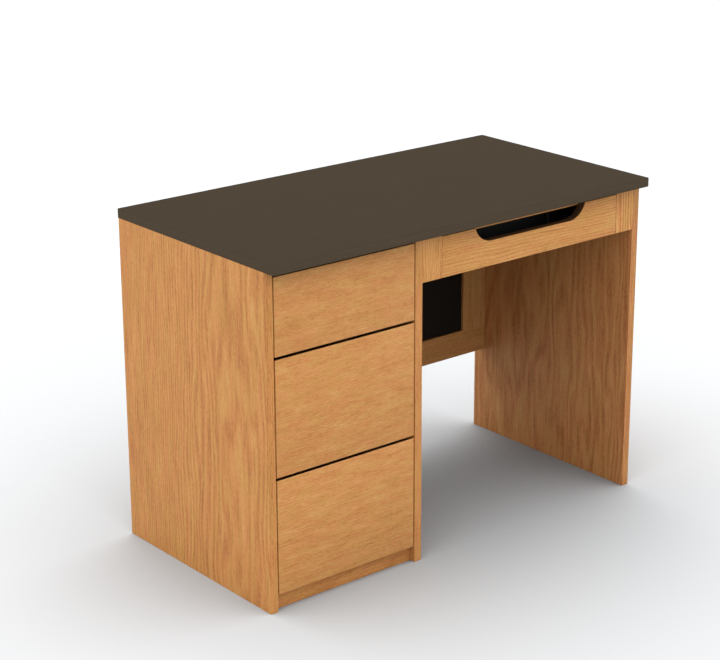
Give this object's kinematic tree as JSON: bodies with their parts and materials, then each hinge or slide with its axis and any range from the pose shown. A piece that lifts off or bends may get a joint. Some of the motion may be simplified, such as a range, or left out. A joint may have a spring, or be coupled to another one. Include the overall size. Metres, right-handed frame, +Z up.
{
  "type": "teacher desk",
  "caption": "Single-pedestal teacher's desk in oak veneer with a dark top: pedestal drawers on the left, a pencil drawer with a hand scoop over the kneehole and a framed modesty panel.",
  "frame": {"origin": "on the floor, under the middle of the desktop", "axes": "+X along the desk away from the pedestal, the user sits at -Y, +Z up"},
  "size_m": [1.05, 0.55, 0.75],
  "materials": {
    "oak_veneer": "oak veneer, satin lacquer",
    "dark_laminate": "fine matt laminate",
    "black_board": "matt black board",
    "chipboard": "raw chipboard",
    "birch_ply": "lacquered birch plywood",
    "zinc_steel": "bright zinc plate",
    "cam_alloy": "cast zinc alloy",
    "black_plastic": "moulded, fine grain",
    "grey_plastic": "moulded",
    "white_plastic": "moulded"
  },
  "bodies": {
    "desk_frame": {"desktop_core": "chipboard", "desktop_laminate": "dark_laminate", "desktop_edge_band": "dark_laminate", "left_side_panel": "oak_veneer", "pedestal_inner_panel": "oak_veneer", "right_end_panel": "oak_veneer", "pedestal_bottom": "oak_veneer", "kick_board": "oak_veneer", "pedestal_back": "oak_veneer", "pedestal_top_rail": "oak_veneer", "left_filler_stile": "oak_veneer", "right_filler_stile": "oak_veneer", "kneehole_front_rail": "oak_veneer", "left_runner_board": "oak_veneer", "right_runner_board": "oak_veneer", "modesty_left_stile": "oak_veneer", "modesty_right_stile": "oak_veneer", "modesty_bottom_rail": "oak_veneer", "modesty_top_rail": "oak_veneer", "modesty_panel": "black_board", "top_brackets": "zinc_steel", "wood_screws": "zinc_steel", "connector_cams": "cam_alloy", "connector_bolts": "zinc_steel", "pedestal_slide_outer": "zinc_steel", "pencil_slide_outer": "zinc_steel", "push_latch_barrels": "grey_plastic"},
    "drawer_1": {"drawer_1_front": "oak_veneer", "drawer_1_left_side": "birch_ply", "drawer_1_right_side": "birch_ply", "drawer_1_inner_front": "birch_ply", "drawer_1_back": "birch_ply", "drawer_1_bottom": "birch_ply", "drawer_1_slide_inner": "zinc_steel", "drawer_1_screws": "zinc_steel"},
    "drawer_1_middle": {"drawer_1_slide_middle": "zinc_steel"},
    "drawer_2": {"drawer_2_front": "oak_veneer", "drawer_2_left_side": "birch_ply", "drawer_2_right_side": "birch_ply", "drawer_2_inner_front": "birch_ply", "drawer_2_back": "birch_ply", "drawer_2_bottom": "birch_ply", "drawer_2_slide_inner": "zinc_steel", "drawer_2_screws": "zinc_steel"},
    "drawer_2_middle": {"drawer_2_slide_middle": "zinc_steel"},
    "drawer_3": {"drawer_3_front": "oak_veneer", "drawer_3_left_side": "birch_ply", "drawer_3_right_side": "birch_ply", "drawer_3_inner_front": "birch_ply", "drawer_3_back": "birch_ply", "drawer_3_bottom": "birch_ply", "drawer_3_slide_inner": "zinc_steel", "drawer_3_screws": "zinc_steel"},
    "drawer_3_middle": {"drawer_3_slide_middle": "zinc_steel"},
    "pencil_drawer": {"pencil_front": "oak_veneer", "pencil_tray": "black_plastic", "pencil_slide_inner": "zinc_steel", "pencil_screws": "zinc_steel"},
    "drawer_2_latch": {"drawer_2_plunger": "white_plastic"},
    "drawer_3_latch": {"drawer_3_plunger": "white_plastic"}
  },
  "joints": [
    {"name": "drawer_1_slide", "type": "slide", "parent": "desk_frame", "child": "drawer_1", "axis": [0, -1, 0], "range_m": [0, 0.4]},
    {"name": "drawer_1_middle_slide", "type": "slide", "parent": "desk_frame", "child": "drawer_1_middle", "axis": [0, -1, 0], "range_m": [0, 0.2]},
    {"name": "drawer_2_slide", "type": "slide", "parent": "desk_frame", "child": "drawer_2", "axis": [0, -1, 0], "range_m": [0, 0.4]},
    {"name": "drawer_2_middle_slide", "type": "slide", "parent": "desk_frame", "child": "drawer_2_middle", "axis": [0, -1, 0], "range_m": [0, 0.2]},
    {"name": "drawer_3_slide", "type": "slide", "parent": "desk_frame", "child": "drawer_3", "axis": [0, -1, 0], "range_m": [0, 0.4]},
    {"name": "drawer_3_middle_slide", "type": "slide", "parent": "desk_frame", "child": "drawer_3_middle", "axis": [0, -1, 0], "range_m": [0, 0.2]},
    {"name": "pencil_drawer_slide", "type": "slide", "parent": "desk_frame", "child": "pencil_drawer", "axis": [0, -1, 0], "range_m": [0, 0.25]},
    {"name": "drawer_2_latch_push", "type": "slide", "parent": "desk_frame", "child": "drawer_2_latch", "axis": [0, 1, 0], "range_m": [0, 0.003], "stiffness_N_per_m": 200, "springref_m": -0.003},
    {"name": "drawer_3_latch_push", "type": "slide", "parent": "desk_frame", "child": "drawer_3_latch", "axis": [0, 1, 0], "range_m": [0, 0.003], "stiffness_N_per_m": 200, "springref_m": -0.003}
  ],
  "couplings": [
    {"joint": "drawer_1_middle_slide", "follows": "drawer_1_slide", "ratio": 0.5},
    {"joint": "drawer_2_middle_slide", "follows": "drawer_2_slide", "ratio": 0.5},
    {"joint": "drawer_3_middle_slide", "follows": "drawer_3_slide", "ratio": 0.5}
  ]
}
